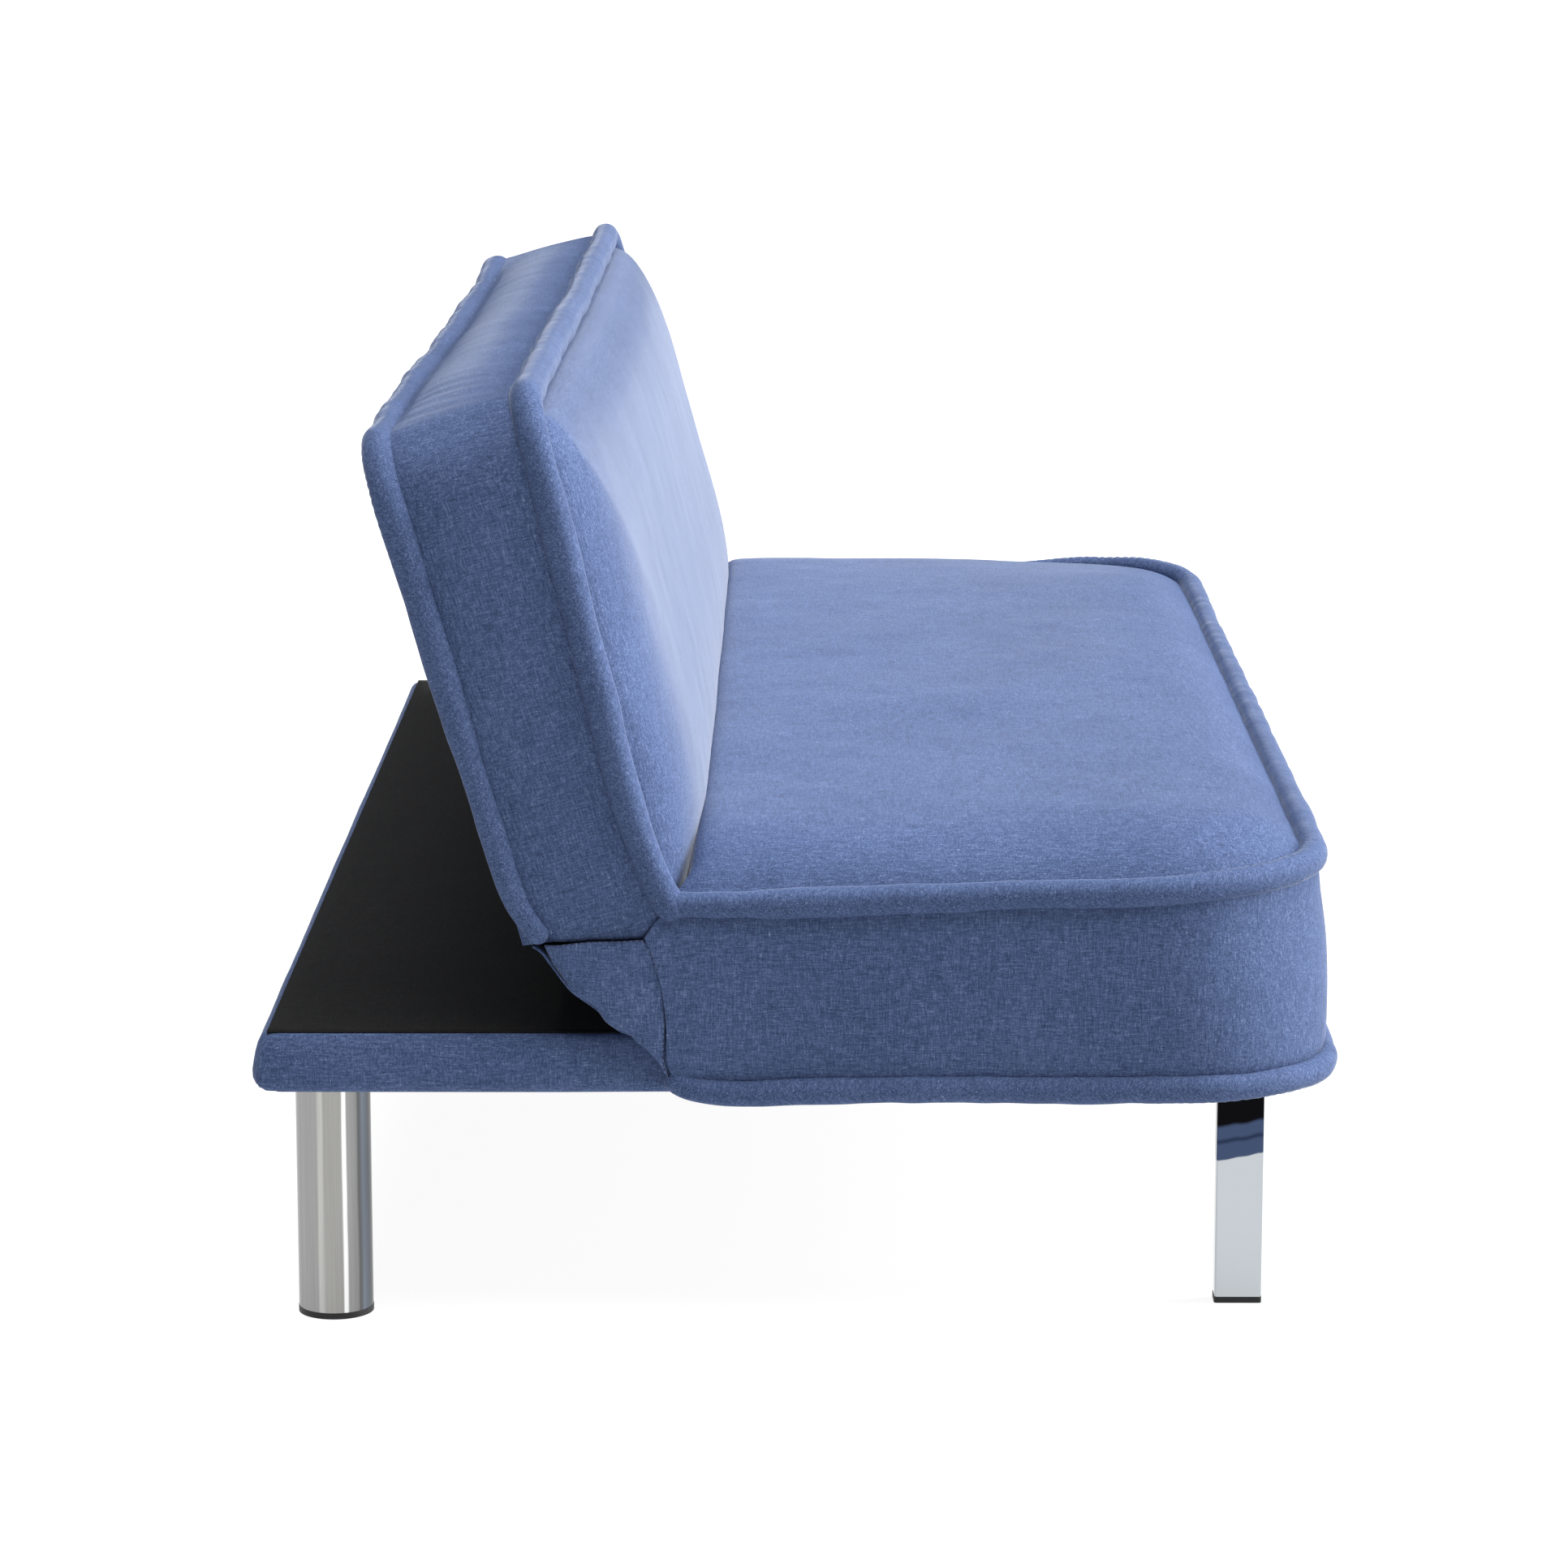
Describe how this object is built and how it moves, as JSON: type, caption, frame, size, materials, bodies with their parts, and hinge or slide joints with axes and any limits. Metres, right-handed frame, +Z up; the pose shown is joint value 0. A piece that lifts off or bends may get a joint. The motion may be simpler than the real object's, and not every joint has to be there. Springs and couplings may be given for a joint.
{
  "type": "futon sofa bed",
  "caption": "Upholstered click-back sofa bed: padded seat fixed on a low base, padded back on ratchet hinges that lies down on the base's rear deck, metal tube legs.",
  "frame": {"origin": "on the floor, under the middle of the sofa's overall box", "axes": "+X along the sofa's length towards its right-hand end seen from the front camera side, -Y to the front where the sitter faces, +Z up"},
  "size_m": [1.676, 0.866, 0.7497],
  "materials": {
    "blue_fabric": "woven blue melange linen-look upholstery cloth",
    "black_cloth": "black plain-weave lining cloth",
    "foam": "upholstery foam",
    "wadding": "polyester wadding and felt",
    "webbing": "elastic webbing",
    "pine": "planed pine",
    "plywood": "plywood",
    "chrome": "polished chrome plate",
    "black_plastic": "moulded black plastic",
    "painted_steel": "black painted steel",
    "zinc_steel": "zinc plated steel",
    "spring_steel": "spring steel"
  },
  "bodies": {
    "base": {"base_corner_blocks": "pine", "base_cross_slats": "pine", "base_dust_cover": "black_cloth", "base_end_rail_left": "pine", "base_end_rail_right": "pine", "base_fabric_wrap": "blue_fabric", "base_rail_front": "pine", "base_rail_rear": "pine", "front_leg_feet": "black_plastic", "front_leg_left": "chrome", "front_leg_right": "chrome", "hinge_leaf_bolts": "zinc_steel", "hinge_leaf_left": "painted_steel", "hinge_leaf_right": "painted_steel", "hinge_pin_left": "zinc_steel", "hinge_pin_right": "zinc_steel", "leg_plate_screws": "zinc_steel", "leg_plates": "painted_steel", "pawl_pins": "zinc_steel", "pawl_springs": "spring_steel", "platform_cloth": "black_cloth", "platform_deck": "plywood", "rear_leg_feet": "black_plastic", "rear_leg_left": "chrome", "rear_leg_right": "chrome", "seat_bottom_roll": "blue_fabric", "seat_centre_rails": "pine", "seat_corner_blocks": "pine", "seat_end_rail_left": "pine", "seat_end_rail_right": "pine", "seat_felt_pad": "wadding", "seat_foam": "foam", "seat_rail_front": "pine", "seat_rail_rear": "pine", "seat_side_band": "blue_fabric", "seat_side_wadding": "wadding", "seat_spring_clips": "spring_steel", "seat_springs": "spring_steel", "seat_top_panel": "blue_fabric", "seat_top_roll": "blue_fabric", "side_web_left": "blue_fabric", "side_web_right": "blue_fabric"},
    "back": {"back_centre_rails": "pine", "back_end_rail_left": "pine", "back_end_rail_right": "pine", "back_foam": "foam", "back_front_panel": "blue_fabric", "back_front_roll": "blue_fabric", "back_rail_bottom": "pine", "back_rail_top": "pine", "back_rear_panel": "blue_fabric", "back_rear_roll": "blue_fabric", "back_side_band": "blue_fabric", "back_side_wadding": "wadding", "back_webbing": "webbing", "hinge_arm_left": "painted_steel", "hinge_arm_right": "painted_steel", "hinge_arm_bolts": "zinc_steel"},
    "pawl_left": {"pawl_left": "painted_steel"},
    "pawl_right": {"pawl_right": "painted_steel"}
  },
  "joints": [
    {"name": "back_recline", "type": "hinge", "parent": "base", "child": "back", "pos_m": [0, 0.13802, 0.33833], "axis": [-1, 0, 0], "range_deg": [-6, 73.5], "deforming": ["side_web_left", "side_web_right"]},
    {"name": "pawl_left_drop", "type": "hinge", "parent": "base", "child": "pawl_left", "pos_m": [-0.7825, 0.13904, 0.29794], "axis": [-1, 0, 0], "range_deg": [0, 9.5]},
    {"name": "pawl_right_drop", "type": "hinge", "parent": "base", "child": "pawl_right", "pos_m": [0.7825, 0.13904, 0.29794], "axis": [-1, 0, 0], "range_deg": [0, 9.5]}
  ]
}
